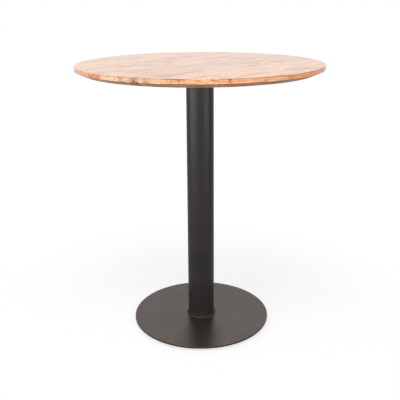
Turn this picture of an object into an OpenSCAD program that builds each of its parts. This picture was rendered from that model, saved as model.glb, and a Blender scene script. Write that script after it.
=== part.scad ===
// Round restaurant table: an edge-glued wooden top on a welded steel pedestal.
// Millimetres, +Z up. The origin is on the floor, on the column's axis, and the
// viewer stands on the -Y side. All levelling feet are drawn screwed fully in.

/* [Table] */
// Height of the table surface above the floor
table_h = 760; // [700:10:1100]
// Direction of the boards in plan, from +X towards +Y
grain_angle = 47; // [0:1:90]

/* [Wooden top] */
// Diameter of the top
top_d = 674; // [600:2:740]
// Thickness of the boards
board_t = 22; // [18:1:30]
// Height of the upright band of the edge, above the underside bevel
edge_band = 11; // [8:1:16]
// How far the underside bevel reaches in from the rim
bevel_w = 25; // [10:1:40]
// Radius of the rounded upper edge
arris_r = 2; // [1:0.5:4]
// How far the nearest glue line lies from the middle of the top
seam_offset = 0; // [0:1:10]

/* [Pedestal] */
// Outer diameter of the column tube
column_d = 76.1; // [60.3:0.1:88.9]
// Wall thickness of the column tube
column_wall = 2; // [1.5:0.5:4]
// Diameter of the round base plate
base_d = 395; // [380:5:600]
// Thickness of the base plate
base_t = 5; // [5:1:10]
// Leg of the weld beads at both ends of the column
weld_leg = 4; // [3:0.5:6]

/* [Top plate] */
// Side of the square steel plate under the boards
plate_w = 270; // [270:10:340]
// Thickness of that plate
plate_t = 5; // [4:1:8]
// Distance of the outer screws from the plate's middle, along and across the boards
screw_out = 115; // [110:1:120]
// Distance of the inner screws from the plate's middle, across the boards
screw_in = 40; // [30:1:55]

/* [Levelling feet] */
// Distance of the feet from the column's axis
foot_r = 160; // [120:1:165]
// Largest diameter of a foot
foot_d = 34; // [34:1:44]
// How far a foot can be screwed out
foot_travel = 3; // [2:0.5:3]

/* [Hidden] */

$fn = 96;
small_fn = 48;
eps = 0.01;
// Gap between pieces that move past each other
gap = 0.3;

// The top is cut from a panel of equal boards
board_count = 8;
trim_allowance = 14;
arris_step = 15;
board_w = (top_d + 2 * seam_offset + trim_allowance) / board_count;
top_r = top_d / 2;
top_z = table_h - board_t;

// M6 screws, 8 mm holes that let the wood move, and brass inserts in the boards
screw_r = 2.95;
screw_grip = 11;
screw_head_r = 5.25;
screw_head_h = 3.3;
screw_socket = 4;
screw_socket_depth = 2;
plate_hole_r = 4;
plate_corner_r = 20;
washer_r = 9;
washer_hole_r = 3.2;
washer_t = 1.6;
insert_r = 4.95;
insert_bore_r = 3;
insert_l = 13;
insert_socket = 6.5;
insert_socket_depth = 3;
insert_hole_r = 5;
insert_hole_depth = 13.5;

// A foot, from the floor up: the sole, the turning body, the stud and the boss
sole_t = 1.6;
sole_r = foot_d / 2;
sole_lip_z = 3.2;
sole_top_z = 4.1;
sole_wall = 1;
lip_overlap = 0.6;
groove_first_r = 6;
groove_pitch = 3.2;
groove_w = 1.2;
groove_depth = 0.5;
flange_z = sole_t + gap;
flange_top_z = sole_lip_z - gap;
flange_r = sole_r - sole_wall - gap;
lip_r = flange_r - lip_overlap;
neck_r = lip_r - gap;
grip_z = sole_top_z + gap;
boss_r = 8.5;
boss_h = 4.2;
boss_z = 4.8;
boss_bore_r = 4;
base_z = boss_z + boss_h;
grip_gap = 0.5;
grip_top_z = base_z - grip_gap;
grip_recess_r = boss_r + grip_gap;
flute_count = 12;
flute_r = 3;
flute_depth = 0.9;
stud_r = 3.95;
stud_head_r = 6.5;
stud_head_top_z = flange_z + 2;
pocket_r = 4.5;
pocket_depth = foot_travel;
stud_top_z = base_z + pocket_depth - gap;

// The column stands between the two plates
column_r = column_d / 2;
column_z = base_z + base_t;
column_top_z = top_z - plate_t;
weld_crown = 0.6 * weld_leg;
edge_break = 0.5;

// The finished outline of the top: a rounded upper edge, an upright band and a
// wide bevel underneath
module top_outline() {
    round_centre = [top_r - arris_r, table_h - arris_r];
    rotate_extrude($fn = 180)
        polygon([
            [0, top_z],
            [top_r - bevel_w, top_z],
            [top_r, table_h - edge_band],
            for (a = [0:arris_step:90]) round_centre + arris_r * [cos(a), sin(a)],
            [0, table_h]
        ]);
}

// Places its children at the eight screws, which follow the boards' direction
module at_screws() {
    rotate(grain_angle)
        for (along = [-screw_out, screw_out])
            for (across = [-screw_out, -screw_in, screw_in, screw_out])
                translate([along, across, 0])
                    children();
}

// Places its children on the axis of foot i
module at_foot(i) {
    rotate(90 * i - 45)
        translate([foot_r, 0, 0])
            children();
}

// One board of the top, counted across the grain
module top_board(i) {
    first_edge = seam_offset - board_count / 2 * board_w;
    color([0.84, 0.62, 0.42])
        difference() {
            intersection() {
                top_outline();
                rotate(grain_angle)
                    translate([-top_r, first_edge + (i - 1) * board_w, top_z])
                        cube([top_d, board_w, board_t]);
            }
            at_screws()
                translate([0, 0, top_z - eps])
                    cylinder(h = insert_hole_depth + eps, r = insert_hole_r);
        }
}

// Brass inserts with an M6 thread and a hexagonal drive at the mouth
module threaded_inserts() {
    color([0.8, 0.62, 0.3])
        at_screws()
            translate([0, 0, top_z])
                difference() {
                    cylinder(h = insert_l, r = insert_r, $fn = small_fn);
                    translate([0, 0, -eps])
                        cylinder(h = insert_l + 2 * eps, r = insert_bore_r, $fn = small_fn);
                    translate([0, 0, -eps])
                        cylinder(h = insert_socket_depth, d = insert_socket / cos(30), $fn = 6);
                }
}

// A square with rounded corners, standing on the plane z = 0
module rounded_plate(side, height, corner_r) {
    flat = side - 2 * corner_r;
    translate([-side / 2, -flat / 2, 0])
        cube([side, flat, height]);
    translate([-flat / 2, -side / 2, 0])
        cube([flat, side, height]);
    for (x = [-flat / 2, flat / 2])
        for (y = [-flat / 2, flat / 2])
            translate([x, y, 0])
                cylinder(h = height, r = corner_r);
}

// The steel plate that carries the top
module top_plate() {
    color([0.13, 0.13, 0.13])
        difference() {
            rotate(grain_angle)
                translate([0, 0, column_top_z])
                    rounded_plate(plate_w, plate_t, plate_corner_r);
            at_screws()
                translate([0, 0, column_top_z - eps])
                    cylinder(h = plate_t + 2 * eps, r = plate_hole_r, $fn = small_fn);
        }
}

// Large washers that cover the wide holes of the top plate
module plate_washers() {
    color([0.72, 0.73, 0.74])
        at_screws()
            translate([0, 0, column_top_z - washer_t])
                difference() {
                    cylinder(h = washer_t, r = washer_r, $fn = small_fn);
                    translate([0, 0, -eps])
                        cylinder(h = washer_t + 2 * eps, r = washer_hole_r, $fn = small_fn);
                }
}

// Button-head screws with a hexagon socket, driven up from below
module plate_screws() {
    seat_z = column_top_z - washer_t;
    head_dome = 1.2;
    color([0.7, 0.71, 0.72])
        at_screws()
            translate([0, 0, seat_z])
                difference() {
                    union() {
                        cylinder(h = washer_t + plate_t + screw_grip, r = screw_r, $fn = small_fn);
                        translate([0, 0, -screw_head_h + head_dome])
                            cylinder(h = screw_head_h - head_dome, r = screw_head_r, $fn = small_fn);
                        translate([0, 0, -screw_head_h])
                            cylinder(
                                h = head_dome, r1 = screw_head_r - head_dome, r2 = screw_head_r,
                                $fn = small_fn
                            );
                    }
                    translate([0, 0, -screw_head_h - eps])
                        cylinder(h = screw_socket_depth, d = screw_socket / cos(30), $fn = 6);
                }
}

// The fillet weld under the top plate
module top_weld() {
    color([0.14, 0.14, 0.14])
        rotate_extrude()
            polygon([
                [column_r, column_top_z],
                [column_r, column_top_z - weld_leg],
                [column_r + weld_crown, column_top_z - weld_crown],
                [column_r + weld_leg, column_top_z]
            ]);
}

// The fillet weld at the column's foot
module base_weld() {
    color([0.14, 0.14, 0.14])
        rotate_extrude()
            polygon([
                [column_r, column_z],
                [column_r + weld_leg, column_z],
                [column_r + weld_crown, column_z + weld_crown],
                [column_r, column_z + weld_leg]
            ]);
}

// The round steel tube
module column_tube() {
    color([0.12, 0.12, 0.12])
        translate([0, 0, column_z])
            difference() {
                cylinder(h = column_top_z - column_z, r = column_r);
                translate([0, 0, -eps])
                    cylinder(h = column_top_z - column_z + 2 * eps, r = column_r - column_wall);
            }
}

// The base plate, plain on top, with four blind pockets underneath
module base_plate() {
    base_r = base_d / 2;
    color([0.15, 0.15, 0.15])
        difference() {
            translate([0, 0, base_z])
                rotate_extrude($fn = 180)
                    polygon([
                        [0, 0],
                        [base_r - edge_break, 0],
                        [base_r, edge_break],
                        [base_r, base_t - edge_break],
                        [base_r - edge_break, base_t],
                        [0, base_t]
                    ]);
            for (i = [1:4])
                at_foot(i)
                    translate([0, 0, base_z - eps])
                        cylinder(h = pocket_depth + eps, r = pocket_r, $fn = small_fn);
        }
}

// Threaded bosses, welded under the base plate over the pockets
module foot_bosses() {
    color([0.16, 0.16, 0.16])
        for (i = [1:4])
            at_foot(i)
                translate([0, 0, boss_z])
                    difference() {
                        cylinder(h = boss_h, r = boss_r, $fn = small_fn);
                        translate([0, 0, -eps])
                            cylinder(h = boss_h + 2 * eps, r = boss_bore_r, $fn = small_fn);
                    }
}

// The M8 stud of a foot, with the hexagonal head that is moulded into the body
module foot_stud(i) {
    chamfer = 0.8;
    color([0.75, 0.76, 0.77])
        at_foot(i) {
            translate([0, 0, flange_z])
                cylinder(h = stud_head_top_z - flange_z, r = stud_head_r, $fn = 6);
            translate([0, 0, stud_head_top_z - eps])
                cylinder(h = stud_top_z - chamfer - stud_head_top_z + eps, r = stud_r, $fn = small_fn);
            translate([0, 0, stud_top_z - chamfer])
                cylinder(h = chamfer, r1 = stud_r, r2 = stud_r - chamfer, $fn = small_fn);
        }
}

// The turning body of a foot: a flange that the sole clips on, a neck, and a
// fluted grip ring that rises round the boss
module foot_body(i) {
    color([0.1, 0.1, 0.1])
        at_foot(i)
            difference() {
                rotate_extrude()
                    polygon([
                        [0, flange_z],
                        [flange_r, flange_z],
                        [flange_r, flange_top_z],
                        [neck_r, flange_top_z],
                        [neck_r, grip_z],
                        [sole_r - edge_break, grip_z],
                        [sole_r, grip_z + edge_break],
                        [sole_r, grip_top_z - edge_break],
                        [sole_r - edge_break, grip_top_z],
                        [grip_recess_r, grip_top_z],
                        [grip_recess_r, grip_z],
                        [0, grip_z]
                    ]);
                translate([0, 0, flange_z - eps])
                    cylinder(h = stud_head_top_z - flange_z + eps, r = stud_head_r, $fn = 6);
                translate([0, 0, stud_head_top_z - eps])
                    cylinder(h = grip_z - stud_head_top_z + 2 * eps, r = stud_r, $fn = small_fn);
                for (k = [1:flute_count])
                    rotate(k * 360 / flute_count)
                        translate([sole_r + flute_r - flute_depth, 0, grip_z - eps])
                            cylinder(h = base_z, r = flute_r, $fn = small_fn);
            }
}

// The soft sole of a foot: a shallow cup whose lip clips over the body's flange,
// with ring grooves underneath
module foot_sole(i) {
    color([0.32, 0.32, 0.33])
        at_foot(i)
            rotate_extrude()
                polygon([
                    [0, 0],
                    for (r = [groove_first_r:groove_pitch:sole_r - groove_pitch]) each [
                        [r, 0],
                        [r, groove_depth],
                        [r + groove_w, groove_depth],
                        [r + groove_w, 0]
                    ],
                    [sole_r - edge_break, 0],
                    [sole_r, edge_break],
                    [sole_r, sole_top_z],
                    [lip_r, sole_top_z],
                    [lip_r, sole_lip_z],
                    [sole_r - sole_wall, sole_lip_z],
                    [sole_r - sole_wall, sole_t],
                    [0, sole_t]
                ]);
}

top_board(1);  // top_board_1
top_board(2);  // top_board_2
top_board(3);  // top_board_3
top_board(4);  // top_board_4
top_board(5);  // top_board_5
top_board(6);  // top_board_6
top_board(7);  // top_board_7
top_board(8);  // top_board_8
threaded_inserts();
top_plate();
plate_screws();
plate_washers();
top_weld();
column_tube();
base_weld();
base_plate();
foot_bosses();
foot_stud(1);  // foot_stud_1
foot_stud(2);  // foot_stud_2
foot_stud(3);  // foot_stud_3
foot_stud(4);  // foot_stud_4
foot_body(1);  // foot_body_1
foot_body(2);  // foot_body_2
foot_body(3);  // foot_body_3
foot_body(4);  // foot_body_4
foot_sole(1);  // foot_sole_1
foot_sole(2);  // foot_sole_2
foot_sole(3);  // foot_sole_3
foot_sole(4);  // foot_sole_4
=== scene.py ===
import math

import bpy
from bpy.props import FloatProperty, IntProperty, PointerProperty, StringProperty
from mathutils import Euler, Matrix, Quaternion, Vector


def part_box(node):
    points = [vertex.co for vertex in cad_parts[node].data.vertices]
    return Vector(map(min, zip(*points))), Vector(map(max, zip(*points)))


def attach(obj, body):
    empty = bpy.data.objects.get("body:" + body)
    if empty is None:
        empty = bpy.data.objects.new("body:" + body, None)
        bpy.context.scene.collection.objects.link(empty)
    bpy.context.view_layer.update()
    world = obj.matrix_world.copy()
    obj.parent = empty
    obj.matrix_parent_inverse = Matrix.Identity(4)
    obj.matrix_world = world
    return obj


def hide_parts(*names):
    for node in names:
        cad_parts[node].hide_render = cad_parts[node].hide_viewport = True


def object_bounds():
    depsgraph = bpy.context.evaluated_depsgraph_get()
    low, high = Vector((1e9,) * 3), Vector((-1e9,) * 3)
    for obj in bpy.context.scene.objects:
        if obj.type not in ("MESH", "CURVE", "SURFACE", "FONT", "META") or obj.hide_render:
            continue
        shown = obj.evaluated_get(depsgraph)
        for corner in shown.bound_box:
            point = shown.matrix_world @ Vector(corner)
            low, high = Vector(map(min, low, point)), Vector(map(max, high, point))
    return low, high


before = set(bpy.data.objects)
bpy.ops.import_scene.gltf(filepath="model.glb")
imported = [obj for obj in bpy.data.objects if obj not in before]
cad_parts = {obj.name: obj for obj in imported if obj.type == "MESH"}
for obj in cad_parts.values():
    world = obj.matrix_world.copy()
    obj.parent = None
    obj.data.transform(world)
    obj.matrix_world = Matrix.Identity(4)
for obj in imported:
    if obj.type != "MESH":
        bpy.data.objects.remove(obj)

bl_info = {
    "name": "Round restaurant table",
    "version": (1, 0, 0),
    "blender": (4, 5, 0),
    "location": "3D View > Sidebar > Table",
    "description": "Finishes, weld beads and studio for a round wooden table on a steel pedestal",
    "category": "Object",
}

CAD_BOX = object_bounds()
MM = 0.001

# The top: boards side by side, trimmed to a circle
BOARDS = ["top_board_%d" % number for number in range(1, 9)]
BOARD_W = 86 * MM
FIRST_SEAM = -len(BOARDS) / 2 * BOARD_W
GRAIN_ANGLE = math.radians(47)
TABLE_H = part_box("top_board_4")[1].z
TOP_R = CAD_BOX[1].x

# How each board was sawn: where the tree's pith lies from the board's middle, aside
# and below the surface in mm, the board's tone, and how much deeper orange it is
SAWN = [
    (10, 170, 0.95, 1.0), (-20, 150, 1.0, 0.0), (25, 180, 0.93, 0.3), (-60, 60, 0.87, 0.2),
    (130, 20, 1.0, 0.1), (-15, 140, 0.94, 0.2), (40, 110, 1.0, 0.0), (-90, 40, 0.94, 0.1),
]
# A colour ramp holds these values. Its 0 to 1 stands for half of this to either side, in mm.
PITH_RANGE = 400

# How far apart in metres the patterns of two boards can start
BOARD_SHIFT = (9, 3, 3)

# The pith isn't straight: how far it wanders aside and up, in mm
WANDER_ASIDE = 70
WANDER_UP = 60

# Patterns in the wood, drawn out along the grain: length and width of a feature in mm,
# then detail and roughness of the noise. Pores are 0.2 mm wide in the real wood, and
# drawn 0.5 mm wide so that they show.
PATTERNS = {
    "wander": (450, 120, 2.0, 0.55),
    "wobble": (90, 20, 3.0, 0.55),
    "splinters": (12, 7, 3.0, 0.55),
    "streaks": (200, 16, 6.0, 0.65),
    "flecks": (35, 2.5, 3.0, 0.55),
    "blotches": (100, 35, 3.0, 0.6),
    "fibres": (20, 0.8, 2.0, 0.55),
    "pores": (8, 0.5, 0.0, 0.55),
}

# Places in the top are given in mm: along the grain and across it from the middle of
# the top, and below its surface. Radii are in mm along, across and in height.

# Wood grown round a branch, cut through by a glue line
KNOT, KNOT_RADII = (-322.5, -96.5, 8.5), (40, 10.5, 13)
KNOT_SEAM = -BOARD_W

# Dark marks along the grain: place, radii and strength. Those below the surface are on
# the edge of the top; a last number makes one hollow.
MARKS = [
    ((-187, 88, 0), (46, 9, 7), 0.75),
    ((-59, 135, 0), (40, 9, 7), 0.7),
    ((40, 155, 0), (44, 10, 7), 0.55),
    ((-43, 74, 0), (22, 9, 7), 0.65),
    ((-208, -201, 0), (30, 6, 7), 0.8),
    ((-188, -224, 0), (26, 5, 7), 0.6),
    ((-119, 20, 0), (60, 9, 7), 0.4),
    ((119, 59, 0), (60, 12, 7), 0.4),
    ((178, -30, 0), (50, 12, 7), 0.4),
    ((40, -59, 0), (70, 12, 7), 0.3),
    ((178, -136, 0), (60, 16, 7), 0.35),
    ((84, -289, 0), (40, 12, 7), 0.35),
    ((-312, -126, 9), (14, 10, 5), 0.5),
    ((-309, -89, 0), (12, 7, 7), 0.7),
    ((-321.5, -101, 11.4), (9, 11, 3.6), 1.0),
    ((-283, -184, 0.2), (26, 40, 2.0), 1.0),
    ((-278.6, -189.5, 1.8), (12, 17, 5), 0.9, 0.7),
    ((-196.5, -274, 2.5), (5, 4, 3), 1.0),
    ((-195.5, -274.5, 7.5), (8, 6, 5), 0.35),
]

# Low swellings of the rings, which show as closed figures: place, radii, and how many
# rings they lift
FIGURES = [
    ((149, -139, 0), (60, 20, 20), 1.3),
]

# The camera that took the photo, fitted to the outlines of the top, the column and the
# base. It looks down a little, and its picture is shifted down, as the photo's is.
CAMERA_PLACE = (0, -1.6909, 0.9387)
CAMERA_DOWN = math.radians(14.939)
CAMERA_TURN = math.radians(0.035)
CAMERA_ROLL = math.radians(-0.369)
CAMERA_SHIFT = -0.1

# Lamps: place, height on the table's axis that it faces, width and height, all in
# metres, and power in watts. The panels light the top from above. The low lamps light
# its edge, the column and the base from below the surface, which can't mirror them.
LAMPS = [
    ("panel_front", (-0.2, -2.3, 2.95), 0.5, 5.0, 2.4, 137),
    ("panel_left", (-2.3, -1.2, 2.9), 0.5, 2.0, 1.5, 11),
    ("panel_right", (2.3, -1.2, 2.9), 0.5, 2.0, 1.5, 8),
    ("panel_behind", (0, 2.0, 2.0), 0.42, 2.4, 0.9, 10),
    ("low_front", (0.3, -2.6, 0.42), 0.42, 4.4, 0.6, 11),
    ("low_left", (-1.95, -1.1, 0.42), 0.42, 2.6, 0.64, 18.5),
    ("low_right", (1.9, -1.3, 0.42), 0.42, 1.6, 0.64, 7.8),
]
WHITE = (1, 1, 1, 1)

# The floor: how bright it looks in reflections, how much of its shadow the camera sees
# by the table, and from where to where in metres that shadow fades. Its paper is white
# to the camera, but throws little light up, like the photo's.
FLOOR_IN_REFLECTIONS = 0.3
SHADOW_SHARE = 0.3
SHADOW_FADES = (0.25, 0.8)
PAPER_SEEN = (0.9, 0.9, 0.9, 1)
PAPER_AS_LIGHT = (0.24, 0.24, 0.24, 1)


def linear(hex_colour):
    """Turns an sRGB colour such as #C08040 into linear RGBA."""
    values = [int(hex_colour[i:i + 2], 16) / 255 for i in (1, 3, 5)]
    return [v / 12.92 if v <= 0.04045 else ((v + 0.055) / 1.055) ** 2.4 for v in values] + [1.0]


def plug(tree, value, socket):
    """Gives a socket a node's first output, an output or a plain value."""
    if isinstance(value, bpy.types.Node):
        value = value.outputs[0]
    if isinstance(value, bpy.types.NodeSocket):
        tree.links.new(value, socket)
    else:
        socket.default_value = value


def add(tree, kind, inputs=None, stops=(), **properties):
    """Adds a node. inputs maps a socket to what plug takes; stops are a colour ramp's."""
    node = tree.nodes.new(kind)
    for name, value in properties.items():
        setattr(node, name, value)
    for key, value in (inputs or {}).items():
        plug(tree, value, node.inputs[key])
    if stops:
        ramp = node.color_ramp.elements
        while len(ramp) < len(stops):
            ramp.new(0.5)
        for element, (place, colour) in zip(ramp, stops):
            element.position = place
            element.color = colour
    return node


def empty_tree(owner):
    """The node tree of a new material or world, with nothing in it."""
    owner.use_nodes = True
    owner.node_tree.nodes.clear()
    return owner.node_tree


def new_material(name, **surface):
    """A material with a Principled shader, and its tree and shader."""
    material = bpy.data.materials.new(name)
    tree = empty_tree(material)
    shader = add(tree, "ShaderNodeBsdfPrincipled", inputs=surface)
    add(tree, "ShaderNodeOutputMaterial", inputs={"Surface": shader})
    return material, tree, shader


def dress(material, *names):
    """Gives CAD nodes a material in place of their plain one."""
    for name in names:
        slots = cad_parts[name].data.materials
        slots.clear()
        slots.append(material)


def link_object(name, data):
    """A new object in the scene."""
    new = bpy.data.objects.new(name, data)
    bpy.context.scene.collection.objects.link(new)
    return new


def chosen():
    """What is set in the sidebar."""
    return bpy.context.scene.round_table


# --- nodes that several materials use


def calc(tree, operation, *values):
    """A Math node; kept short because patterns need many of them."""
    return add(tree, "ShaderNodeMath", inputs=dict(enumerate(values)), operation=operation)


def between(tree, value, low, high):
    """0 below low, 1 above high, smooth between them; low may be the larger one."""
    return add(
        tree, "ShaderNodeMapRange", inputs={"Value": value, "From Min": low, "From Max": high},
        interpolation_type="SMOOTHSTEP",
    )


def blend_colour(tree, factor, first, second, mode="MIX"):
    """A mix of two colours, as an output."""
    node = add(tree, "ShaderNodeMix", data_type="RGBA", blend_type=mode)
    for key, value in (("Factor_Float", factor), ("A_Color", first), ("B_Color", second)):
        plug(tree, value, next(s for s in node.inputs if s.identifier == key))
    return next(s for s in node.outputs if s.identifier == "Result_Color")


def object_place(tree):
    """Where a point is in its object, in metres, as an output."""
    return add(tree, "ShaderNodeTexCoord").outputs["Object"]


def length(tree, vector):
    """Length of a vector, as an output."""
    return add(
        tree, "ShaderNodeVectorMath", operation="LENGTH", inputs={0: vector}).outputs["Value"]


def noise(tree, place, size, detail, roughness=0.5):
    """Noise with features of the given size in metres."""
    return add(
        tree, "ShaderNodeTexNoise",
        inputs={"Vector": place, "Scale": 1 / size, "Detail": detail, "Roughness": roughness},
    )


def emboss(tree, shader, height, depth, strength=0.5):
    """Fine relief, in which a height of 1 stands for the given depth in metres."""
    bump = add(
        tree, "ShaderNodeBump", inputs={"Height": height, "Distance": depth, "Strength": strength})
    plug(tree, bump, shader.inputs["Normal"])


# --- wood


def pattern(tree, place, name):
    """One of PATTERNS."""
    along, across, detail, roughness = PATTERNS[name]
    scaled = add(
        tree, "ShaderNodeVectorMath", operation="MULTIPLY",
        inputs={0: place, 1: [1 / (size * MM) for size in (along, across, across)]},
    )
    return noise(tree, scaled, 1.0, detail, roughness)


def distance(tree, parts):
    """Length of a vector whose parts are (value, centre, radius)."""
    total = None
    for value, centre, radius in parts:
        part = calc(tree, "POWER", calc(tree, "ABSOLUTE", calc(
            tree, "DIVIDE", calc(tree, "SUBTRACT", value, centre), radius)), 2.0)
        total = part if total is None else calc(tree, "ADD", total, part)
    return calc(tree, "SQRT", total)


def from_spot(tree, axes, spot, radii):
    """Distance from a place in the top, which is 1 where the radii end."""
    along, across, below = spot
    centres = (along * MM, across * MM, TABLE_H - below * MM)
    return distance(tree, zip(axes, centres, [radius * MM for radius in radii]))


def ragged(tree, near, rough, amount):
    """Moves a distance up and down by a noise, which makes an outline ragged."""
    return calc(tree, "ADD", near, calc(tree, "MULTIPLY_ADD", rough, amount, -amount / 2))


def boards_of(tree, across, seed):
    """Distance from the middle of the board that a place is in, how that board was sawn
    as the colour ramp holds it, and a colour of the board's own."""
    boards_in = calc(tree, "DIVIDE", calc(tree, "SUBTRACT", across, FIRST_SEAM), BOARD_W)
    board = calc(tree, "FLOOR", boards_in)
    local = calc(
        tree, "MULTIPLY", calc(tree, "SUBTRACT", calc(tree, "FRACT", boards_in), 0.5), BOARD_W)
    count = len(SAWN)
    sawn = add(
        tree, "ShaderNodeValToRGB",
        inputs={0: calc(tree, "DIVIDE", calc(tree, "ADD", board, 0.5), count)},
        stops=[
            (i / count, (0.5 + aside / PITH_RANGE, 0.5 + below / PITH_RANGE, tone, warmth))
            for i, (aside, below, tone, warmth) in enumerate(SAWN)
        ],
    )
    sawn.color_ramp.interpolation = "CONSTANT"
    parts = add(tree, "ShaderNodeSeparateColor", inputs={0: sawn.outputs[0]}).outputs
    chance = add(
        tree, "ShaderNodeTexWhiteNoise", noise_dimensions="1D",
        inputs={"W": calc(tree, "ADD", board, seed + 0.5)},
    )
    return local, [*parts, sawn.outputs["Alpha"]], chance.outputs["Color"]


def pith_place(tree, held, sign, start, wander, reach):
    """Where the pith lies on one axis: what the colour ramp holds, counted from start in
    the direction of sign, and a noise that wanders by reach."""
    sawn = calc(
        tree, "MULTIPLY_ADD", held, sign * PITH_RANGE * MM,
        start - (sign * PITH_RANGE + reach) / 2 * MM)
    return calc(tree, "ADD", sawn, calc(tree, "MULTIPLY", wander, reach * MM))


def dark_marks(tree, axes, wobble, radius):
    """All of MARKS, the stronger one where two meet."""
    # A mark on the edge ends a little way inside the rim
    inside = between(tree, radius, TOP_R - 4 * MM, TOP_R - 9 * MM)
    marks = None
    for spot, radii, strength, *hollow in MARKS:
        near = ragged(tree, from_spot(tree, axes, spot, radii), wobble, 0.9)
        below = spot[2]
        if below:
            near = calc(tree, "ADD", near, inside)
        mark = calc(tree, "MULTIPLY", between(tree, near, 1.2, 0.25), strength)
        if hollow:
            mark = calc(tree, "SUBTRACT", mark, calc(
                tree, "MULTIPLY", between(tree, near, 0.85, 0.45), hollow[0]))
        marks = mark if marks is None else calc(tree, "MAXIMUM", marks, mark)
    return marks


def mango_wood():
    """Mango wood, planed, sanded and sealed with a satin lacquer: pale orange-brown
    with darker heart streaks and short pores, and a soft sheen at low angles."""
    wood = chosen().wood
    material, tree, shader = new_material("mango_wood_satin_lacquer", IOR=1.5)
    place = add(
        tree, "ShaderNodeMapping",
        inputs={"Vector": object_place(tree), "Rotation": (0, 0, -GRAIN_ANGLE)},
    )
    axes = add(tree, "ShaderNodeSeparateXYZ", inputs={0: place}).outputs
    along, across, height = axes
    radius = length(tree, add(tree, "ShaderNodeCombineXYZ", inputs={0: along, 1: across}))

    # Each board has a place of its own in the patterns
    local, (pith_aside, pith_below, board_tone, warmth), chance = boards_of(
        tree, across, wood.seed)
    shift = add(
        tree, "ShaderNodeVectorMath", operation="MULTIPLY_ADD",
        inputs={0: chance, 1: BOARD_SHIFT, 2: place},
    )

    # Growth rings round a pith that wanders, which draws long arches on the surface
    wander = add(
        tree, "ShaderNodeSeparateColor",
        inputs={0: pattern(tree, shift, "wander").outputs["Color"]}).outputs
    wobble = pattern(tree, shift, "wobble")
    from_pith = distance(tree, [
        (local, pith_place(tree, pith_aside, 1, 0, wander[0], WANDER_ASIDE), 1.0),
        (height, pith_place(tree, pith_below, -1, TABLE_H, wander[1], WANDER_UP), 1.0),
    ])
    ring = calc(tree, "ADD", wobble, calc(tree, "DIVIDE", from_pith, wood.ring_width))
    for spot, radii, lift in FIGURES:
        near = from_spot(tree, axes, spot, radii)
        ring = calc(tree, "MULTIPLY_ADD", between(tree, near, 1.6, 0.0), lift, ring)
    branch = ragged(
        tree, from_spot(tree, axes, KNOT, KNOT_RADII), pattern(tree, place, "splinters"), 0.7)
    # The board beyond the glue line is another piece of wood, which no branch runs into
    far = 9.0
    branch = calc(tree, "ADD", branch, calc(
        tree, "MULTIPLY", between(tree, across, KNOT_SEAM - 0.3 * MM, KNOT_SEAM), far))
    # Rings bend round a branch. In a year the wood darkens slowly and turns pale at once.
    branch_lift = 1.6
    ring = calc(tree, "MULTIPLY_ADD", between(tree, branch, 2.6, 0.6), branch_lift, ring)
    ring = calc(tree, "FRACT", ring)
    late = calc(
        tree, "MULTIPLY", between(tree, ring, 0.2, 0.9), between(tree, ring, 1.0, 0.93))

    # Heart streaks, short flecks, blotches and fibres
    streaks = pattern(tree, shift, "streaks")
    dark_streaks = between(tree, streaks, 0.54, 0.72)
    pale_streaks = between(tree, streaks, 0.46, 0.3)
    flecks = between(tree, pattern(tree, shift, "flecks"), 0.6, 0.78)
    blotches = between(tree, pattern(tree, shift, "blotches"), 0.48, 0.68)
    fibres = pattern(tree, shift, "fibres")
    pores = between(tree, pattern(tree, shift, "pores"), 0.66, 0.76)
    marks = dark_marks(tree, axes, wobble, radius)

    # Stains lie over one another, each by the share that it covers where it's strongest
    colour = blend_colour(
        tree, calc(tree, "MULTIPLY", late, 0.75), linear(wood.pale), linear(wood.late))
    for factor, share, stain in (
        (blotches, 0.75, wood.heart), (pale_streaks, 0.75, wood.sap),
        (dark_streaks, 0.6, wood.streak), (flecks, 0.5, wood.streak),
        (between(tree, fibres, 0.35, 0.75), 0.14, wood.streak), (pores, 0.4, wood.streak),
    ):
        colour = blend_colour(tree, calc(tree, "MULTIPLY", factor, share), colour, linear(stain))

    # The knot, with close rings of its own and a dark middle
    rings_in_radius = 3.4
    knot_rings = calc(tree, "FRACT", calc(tree, "MULTIPLY", branch, rings_in_radius))
    colour = blend_colour(
        tree, between(tree, branch, 1.2, 0.9), colour, blend_colour(
            tree, between(tree, knot_rings, 0.15, 0.75), linear(wood.knot), linear(wood.late)))
    colour = blend_colour(
        tree, calc(tree, "MULTIPLY", between(tree, branch, 0.36, 0.16), 0.9), colour,
        linear(wood.knot_core))
    colour = blend_colour(tree, marks, colour, linear(wood.streak))

    # Boards differ in tone. End grain and the glue lines are darker. Where the underside faces
    # down it is painted darker, as painted shade, and the rounded upper edge is darker in a thin
    # line.
    normal = add(tree, "ShaderNodeTexCoord").outputs["Normal"]
    along_grain, upward = [
        add(
            tree, "ShaderNodeVectorMath", operation="DOT_PRODUCT",
            inputs={0: normal, 1: direction},
        ).outputs["Value"]
        for direction in ((math.cos(GRAIN_ANGLE), math.sin(GRAIN_ANGLE), 0), (0, 0, 1))
    ]
    end_grain = between(tree, calc(tree, "ABSOLUTE", along_grain), 0.6, 1.0)
    underside = between(tree, upward, -0.2, -0.7)
    glue = between(
        tree, calc(tree, "ABSOLUTE", local), BOARD_W / 2 - 0.9 * MM, BOARD_W / 2 - 0.2 * MM)
    arris = calc(
        tree, "MULTIPLY", between(tree, radius, TOP_R - 3 * MM, TOP_R - 1.5 * MM),
        between(tree, height, TABLE_H - 3 * MM, TABLE_H - 1.8 * MM),
    )
    # A thin darker line along the rounded upper edge, deeper on the deeper orange boards
    arris_loss = calc(tree, "MULTIPLY_ADD", warmth, -0.3, -0.1)
    tone = board_tone
    # Losses in tone; the underside's is painted shade on faces that look down
    for factor, loss in (
        (end_grain, -0.03), (underside, -0.14), (glue, -0.3), (arris, arris_loss),
    ):
        tone = calc(tree, "MULTIPLY_ADD", factor, loss, tone)
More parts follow.
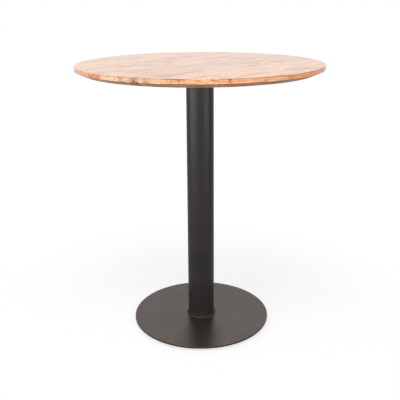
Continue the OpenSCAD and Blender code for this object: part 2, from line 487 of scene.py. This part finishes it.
    # A deeper orange board lacks some green and more blue
    green, blue = [
        calc(tree, "MULTIPLY", tone, calc(tree, "MULTIPLY_ADD", warmth, -lack, 1.0))
        for lack in (0.12, 0.28)
    ]
    tint = add(tree, "ShaderNodeCombineXYZ", inputs={0: tone, 1: green, 2: blue})
    colour = blend_colour(tree, 1.0, colour, tint, mode="MULTIPLY")
    plug(tree, colour, shader.inputs["Base Color"])

    # Dark streaks take the lacquer up, and the underside has one coat, so both are dull
    streak_dulls, one_coat_dulls = 0.2, 0.14
    dull = calc(
        tree, "MAXIMUM", calc(tree, "MULTIPLY", underside, one_coat_dulls),
        calc(tree, "MULTIPLY", calc(tree, "MAXIMUM", marks, dark_streaks), streak_dulls))
    plug(tree, calc(tree, "ADD", dull, wood.roughness), shader.inputs["Roughness"])
    all_coats_shine, one_coat_shines = 0.5, 0.22
    shine = calc(
        tree, "MULTIPLY_ADD", underside, one_coat_shines - all_coats_shine, all_coats_shine)
    plug(tree, shine, shader.inputs["Specular IOR Level"])

    # Relief in mm
    relief = calc(tree, "MULTIPLY", fibres, 0.015)
    for factor, rise in ((pores, -0.04), (late, 0.02), (glue, -0.08)):
        relief = calc(tree, "MULTIPLY_ADD", factor, rise, relief)
    emboss(tree, shader, relief, MM, strength=0.3)
    return material


# --- metal and plastic


def powder_coat(name, coat, coat_low, gloss, tint, roughness):
    """Steel with a baked black powder coat: a fine even grain, nearly black, with a
    dull reflection that grows towards grazing angles. gloss is the strength of that
    reflection, and tint its colour."""
    material, tree, shader = new_material(
        name, IOR=1.5, **{"Specular IOR Level": gloss, "Specular Tint": linear(tint)})
    place = object_place(tree)
    # The grain of the coat is 0.4 mm; it is drawn at 1.2 mm so that it shows
    grain = noise(tree, place, 1.2 * MM, detail=2.0, roughness=0.6)
    # The coat lies a little thicker here and thinner there, which shows as faint patches
    cloud = noise(tree, place, 70 * MM, detail=3.0)
    cloud_share = 0.55
    patches = calc(tree, "MULTIPLY_ADD", between(tree, cloud, 0.38, 0.62), cloud_share, calc(
        tree, "MULTIPLY", grain, 1 - cloud_share))
    colour = blend_colour(
        tree, between(tree, patches, 0.15, 0.85), linear(coat_low), linear(coat))
    plug(tree, colour, shader.inputs["Base Color"])
    spread = 0.24
    rough = calc(tree, "MULTIPLY_ADD", cloud, -spread, roughness + spread / 2)
    plug(tree, rough, shader.inputs["Roughness"])
    emboss(tree, shader, grain, 0.06 * MM)
    return material


def zinc_plate():
    """Steel screws and studs with a clear zinc plating: a cool grey metal, slightly
    blotchy."""
    material, tree, shader = new_material("steel_zinc_plated", Metallic=1.0)
    blotch = noise(tree, object_place(tree), 4 * MM, detail=4.0)
    colour = blend_colour(
        tree, between(tree, blotch, 0.35, 0.65), linear("#A6A9AC"), linear("#C9CCD0"))
    plug(tree, colour, shader.inputs["Base Color"])
    smoothest, spread = 0.22, 0.25
    plug(
        tree, calc(tree, "MULTIPLY_ADD", blotch, spread, smoothest), shader.inputs["Roughness"])
    return material


def turned_brass():
    """Free-cutting brass, turned: warm yellow with fine lathe rings."""
    material, tree, shader = new_material("brass_turned", Metallic=1.0, Roughness=0.3)
    rings = add(
        tree, "ShaderNodeTexWave", wave_type="BANDS", bands_direction="Z",
        inputs={"Vector": object_place(tree), "Scale": 1 / (6.3 * MM), "Distortion": 0.4},
    )
    colour = blend_colour(tree, rings, linear("#B98F45"), linear("#D9B26A"))
    plug(tree, colour, shader.inputs["Base Color"])
    emboss(tree, shader, rings, 0.05 * MM)
    return material


def moulded_plastic(name, dark, light, roughness, grain_size):
    """A moulded plastic with a spark-eroded grain, which keeps it matt."""
    material, tree, shader = new_material(name, Roughness=roughness, IOR=1.5)
    place = object_place(tree)
    grain = add(
        tree, "ShaderNodeTexVoronoi",
        inputs={"Vector": place, "Scale": 1 / grain_size, "Randomness": 1.0},
    )
    cloud = noise(tree, place, 9 * MM, detail=3.0)
    colour = blend_colour(tree, between(tree, cloud, 0.3, 0.7), linear(dark), linear(light))
    plug(tree, colour, shader.inputs["Base Color"])
    emboss(tree, shader, grain, 0.04 * MM)
    return material


# --- pieces


def weld_bead(name, column_r, plate_z, up, leg, ripple_pitch):
    """A fillet weld round the column: a bulging bead with the small curved ripples
    that each drop of metal leaves, and soft toes on both sides. Each ring of points
    runs over its face from the plate to the column, then back to their corner."""
    face_points, steps_per_ripple = 9, 10
    uneven, ripple_height = 0.25 * MM, 0.28 * MM
    bulge_share, fullness, outward = 0.2604, 0.8, 0.7
    trail = 0.35  # How far a ripple's ends lag behind its middle, in ripples
    fall = 1.7  # A ripple starts with a step and falls off, the later the higher this is
    ripples = round(2 * math.pi * (column_r + leg / 2) / ripple_pitch)
    steps = ripples * steps_per_ripple
    verts, faces = [], []
    for i in range(steps):
        turn = 2 * math.pi * i / steps
        wander = uneven * math.sin(5 * turn) * math.sin(3 * turn + 1)
        for k in range(face_points):
            t = k / (face_points - 1)
            arch = math.sin(math.pi * t)
            phase = (ripples * turn / (2 * math.pi) + trail * (2 * t - 1) ** 2) % 1.0
            ripple = ripple_height * arch * (1 - phase ** fall)
            bulge = bulge_share * leg * arch ** fullness + ripple
            out = leg * (1 - t) + bulge * outward + wander * arch
            rise = leg * t + bulge * outward
            r = column_r + max(out, 0.0)
            z = plate_z + rise * (1 if up else -1)
            verts.append((r * math.cos(turn), r * math.sin(turn), z))
        verts.append((column_r * math.cos(turn), column_r * math.sin(turn), plate_z))
    points = face_points + 1
    for i in range(steps):
        a, b = i * points, (i + 1) % steps * points
        for k in range(points):
            after = (k + 1) % points
            quad = (a + k, b + k, b + after, a + after)
            faces.append(quad if up else quad[::-1])
    mesh = bpy.data.meshes.new(name)
    mesh.from_pydata(verts, [], faces)
    mesh.shade_smooth()
    mesh.set_sharp_from_angle(angle=math.radians(80))
    return link_object(name, mesh)


# --- studio


def seen(tree, in_reflections):
    """1 where the camera looks, in_reflections for mirrored rays, and 0 for the rays
    that light things."""
    path = add(tree, "ShaderNodeLightPath").outputs
    mirrored = calc(tree, "MAXIMUM", path["Is Glossy Ray"], path["Is Transmission Ray"])
    return calc(
        tree, "MAXIMUM", path["Is Camera Ray"], calc(tree, "MULTIPLY", in_reflections, mirrored))


def white_world(ambient):
    """Even room light, and plain white where the camera or a reflection sees past the
    floor."""
    world = bpy.data.worlds.new("white_studio")
    tree = empty_tree(world)
    strength = calc(tree, "MULTIPLY_ADD", seen(tree, 1.0), 1 - ambient, ambient)
    sky = add(tree, "ShaderNodeBackground", inputs={"Color": WHITE, "Strength": strength})
    add(tree, "ShaderNodeOutputWorld", inputs={"Surface": sky})
    bpy.context.scene.world = world


def white_floor(radius, sides=64):
    """A matt white floor that keeps a faint shadow near the table and fades to plain
    white."""
    mesh = bpy.data.meshes.new("floor")
    turns = [2 * math.pi * i / sides for i in range(sides)]
    verts = [(0, 0, 0)] + [
        (radius * math.cos(turn), radius * math.sin(turn), 0) for turn in turns]
    mesh.from_pydata(verts, [], [(0, i + 1, (i + 1) % sides + 1) for i in range(sides)])
    floor = link_object("floor", mesh)
    material = bpy.data.materials.new("floor_white_paper")
    tree = empty_tree(material)
    plain = calc(
        tree, "MULTIPLY_ADD", between(tree, length(tree, object_place(tree)), *SHADOW_FADES),
        SHADOW_SHARE, 1 - SHADOW_SHARE)
    tint = blend_colour(
        tree, add(tree, "ShaderNodeLightPath").outputs["Is Camera Ray"],
        PAPER_AS_LIGHT, PAPER_SEEN)
    paper = add(tree, "ShaderNodeBsdfDiffuse", inputs={"Color": tint})
    white = add(tree, "ShaderNodeEmission", inputs={"Color": WHITE, "Strength": 1.0})
    share = calc(tree, "MULTIPLY", seen(tree, FLOOR_IN_REFLECTIONS), plain)
    mix = add(tree, "ShaderNodeMixShader", inputs={0: share, 1: paper, 2: white})
    add(tree, "ShaderNodeOutputMaterial", inputs={"Surface": mix})
    mesh.materials.append(material)


def area_light(name, place, target_z, width, height, power):
    """One of LAMPS, which the camera doesn't see."""
    data = bpy.data.lights.new(name, "AREA")
    data.shape = "RECTANGLE"
    data.size = width
    data.size_y = height
    data.energy = power
    lamp = link_object(name, data)
    lamp.location = place
    lamp.visible_camera = False
    facing = Vector((0, 0, target_z)) - Vector(place)
    lamp.rotation_euler = facing.to_track_quat("-Z", "Y").to_euler()


def photo_camera(lens):
    """Stands 1.7 m in front of the table, a little above its surface, and looks down."""
    data = bpy.data.cameras.new("photo_camera")
    data.sensor_width = 36
    data.lens = lens
    data.shift_y = CAMERA_SHIFT
    camera = link_object("photo_camera", data)
    camera.location = CAMERA_PLACE
    camera.rotation_mode = "QUATERNION"
    aim = Euler((math.pi / 2 - CAMERA_DOWN, 0, CAMERA_TURN)).to_quaternion()
    camera.rotation_quaternion = aim @ Quaternion((0, 0, 1), CAMERA_ROLL)
    bpy.context.scene.camera = camera


# --- settings


def hex_property(name, description, default):
    """A setting that takes a colour such as #C08040."""
    return StringProperty(name=name, description=description + ", as sRGB hex", default=default)


class WoodSettings(bpy.types.PropertyGroup):
    ring_width: FloatProperty(
        name="Ring width", description="Width of a year's growth", default=7 * MM,
        min=2 * MM, max=20 * MM, unit="LENGTH", precision=4)
    roughness: FloatProperty(
        name="Lacquer roughness", description="How much the lacquer blurs reflections",
        default=0.15, min=0.05, max=1.0, subtype="FACTOR")
    seed: IntProperty(
        name="Tree", description="Picks the tree that the boards are cut from", default=4, min=0)
    pale: hex_property("Pale wood", "Colour of early wood", "#F4B788")
    late: hex_property("Late wood", "Colour of the ring lines", "#CC8A5C")
    sap: hex_property("Sapwood", "Colour of the pale streaks", "#F8D8B8")
    heart: hex_property("Heartwood", "Colour of the blotches", "#B9733F")
    streak: hex_property("Streaks", "Colour of the dark streaks, flecks and pores", "#70463A")
    knot: hex_property("Knot", "Colour of the knot's rings", "#945C42")
    knot_core: hex_property("Knot's core", "Colour of the knot's middle", "#5C3222")


class SteelSettings(bpy.types.PropertyGroup):
    coat: hex_property("Powder coat", "Colour of the coat", "#221F1D")
    coat_low: hex_property("Powder coat, low spots", "Colour between its grains", "#191716")
    brown_coat: hex_property("Base and welds", "Colour of their browner coat", "#1D1918")
    brown_coat_low: hex_property(
        "Base and welds, low spots", "Colour between its grains", "#151211")
    roughness: FloatProperty(
        name="Coat roughness", description="How much the coat blurs reflections", default=0.34,
        min=0.05, max=1.0, subtype="FACTOR")
    weld_leg: FloatProperty(
        name="Weld leg", description="Width of the weld beads along the tube and the plate",
        default=4 * MM, min=2 * MM, max=6 * MM, unit="LENGTH", precision=4)
    ripple_pitch: FloatProperty(
        name="Ripple pitch", description="Distance between the ripples of a weld bead",
        default=2.2 * MM, min=1 * MM, max=5 * MM, unit="LENGTH", precision=4)


class StageSettings(bpy.types.PropertyGroup):
    lens: FloatProperty(
        name="Lens", description="Focal length on a 36 mm sensor", default=55.72, min=20.0,
        max=200.0, unit="CAMERA")
    ambient: FloatProperty(
        name="Room light", description="Strength of the even light from all around",
        default=0.26, min=0.0, max=2.0)
    floor: FloatProperty(
        name="Floor size", description="Radius of the floor", default=6.0, min=1.0, max=20.0,
        unit="LENGTH")


class TableSettings(bpy.types.PropertyGroup):
    wood: PointerProperty(type=WoodSettings, name="Wood", description="The wooden top")
    steel: PointerProperty(type=SteelSettings, name="Steel", description="The pedestal")
    stage: PointerProperty(type=StageSettings, name="Studio", description="Camera and light")


# --- operators


class TABLE_OT_top(bpy.types.Operator):
    """Finish the boards of the top"""
    bl_idname = "round_table.top"
    bl_label = "Wooden top"

    def execute(self, context):
        dress(mango_wood(), *BOARDS)
        return {"FINISHED"}


class TABLE_OT_pedestal(bpy.types.Operator):
    """Finish the column, both plates and the bosses, and make the weld beads"""
    bl_idname = "round_table.pedestal"
    bl_label = "Pedestal"

    def execute(self, context):
        steel = chosen().steel
        brown = (steel.brown_coat, steel.brown_coat_low)
        coat = powder_coat(
            "steel_black_powder_coat", steel.coat, steel.coat_low, gloss=0.44, tint="#FFFAF6",
            roughness=steel.roughness)
        # The base plate's coat is a shade browner, and glossier
        base_coat = powder_coat(
            "steel_black_powder_coat_brownish", *brown, gloss=0.57, tint="#FFE2D4",
            roughness=steel.roughness)
        # Over the beads' ripples the coat is duller
        weld_coat = powder_coat(
            "steel_black_powder_coat_dull", *brown, gloss=0.3, tint="#FFFAF6", roughness=0.6)
        dress(coat, "top_plate", "column_tube")
        dress(base_coat, "base_plate", "foot_bosses")
        low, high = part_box("column_tube")
        for name, node, z, up in (
            ("base_weld_ripples", "base_weld", low.z, True),
            ("top_weld_ripples", "top_weld", high.z, False),
        ):
            bead = weld_bead(name, high.x, z, up, steel.weld_leg, steel.ripple_pitch)
            bead.data.materials.append(weld_coat)
            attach(bead, "table")
            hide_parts(node)
        return {"FINISHED"}


class TABLE_OT_fasteners(bpy.types.Operator):
    """Finish the screws, washers and threaded inserts under the top, and the feet's studs"""
    bl_idname = "round_table.fasteners"
    bl_label = "Screws, inserts and studs"

    def execute(self, context):
        studs = ["foot_stud_%d" % number for number in range(1, 5)]
        dress(zinc_plate(), "plate_screws", "plate_washers", *studs)
        dress(turned_brass(), "threaded_inserts")
        return {"FINISHED"}


class TABLE_OT_feet(bpy.types.Operator):
    """Finish the bodies and the soles of the four levelling feet"""
    bl_idname = "round_table.feet"
    bl_label = "Levelling feet"

    def execute(self, context):
        # Glass-filled nylon, moulded: black, dull, with a fine grain
        nylon = moulded_plastic(
            "nylon_black_moulded", "#161617", "#1E1E20", roughness=0.5, grain_size=0.8 * MM)
        # A softer plastic, moulded: dark grey and very matt, so that it doesn't mark a floor
        sole = moulded_plastic(
            "sole_plastic_grey_moulded", "#4B4C4F", "#5A5B5E", roughness=0.75,
            grain_size=1.2 * MM)
        for number in range(1, 5):
            dress(nylon, "foot_body_%d" % number)
            dress(sole, "foot_sole_%d" % number)
        return {"FINISHED"}


class TABLE_OT_studio(bpy.types.Operator):
    """Set up the floor, the light and the camera"""
    bl_idname = "round_table.studio"
    bl_label = "Studio"

    def execute(self, context):
        stage = chosen().stage
        context.scene.view_settings.view_transform = "Standard"
        photo_camera(stage.lens)
        white_world(stage.ambient)
        white_floor(stage.floor)
        for lamp in LAMPS:
            area_light(*lamp)
        return {"FINISHED"}


class TABLE_PT_panel(bpy.types.Panel):
    bl_idname = "TABLE_PT_panel"
    bl_label = "Round restaurant table"
    bl_space_type = "VIEW_3D"
    bl_region_type = "UI"
    bl_category = "Table"

    def draw(self, context):
        for group, operators in PANEL:
            box = self.layout.box()
            part = getattr(context.scene.round_table, group)
            for name in part.bl_rna.properties.keys():
                if name not in ("rna_type", "name"):
                    box.prop(part, name)
            for operator in operators:
                box.operator(operator.bl_idname)


PANEL = (
    ("wood", (TABLE_OT_top,)),
    ("steel", (TABLE_OT_pedestal, TABLE_OT_fasteners, TABLE_OT_feet)),
    ("stage", (TABLE_OT_studio,)),
)
CLASSES = (
    WoodSettings, SteelSettings, StageSettings, TableSettings, TABLE_OT_top, TABLE_OT_pedestal,
    TABLE_OT_fasteners, TABLE_OT_feet, TABLE_OT_studio, TABLE_PT_panel,
)


def register():
    for cls in CLASSES:
        bpy.utils.register_class(cls)
    bpy.types.Scene.round_table = PointerProperty(type=TableSettings)


def unregister():
    del bpy.types.Scene.round_table
    for cls in reversed(CLASSES):
        bpy.utils.unregister_class(cls)


def main():
    register()
    bpy.ops.round_table.studio()
    bpy.ops.round_table.top()
    bpy.ops.round_table.pedestal()
    bpy.ops.round_table.fasteners()
    bpy.ops.round_table.feet()


if __name__ == "__main__":
    main()
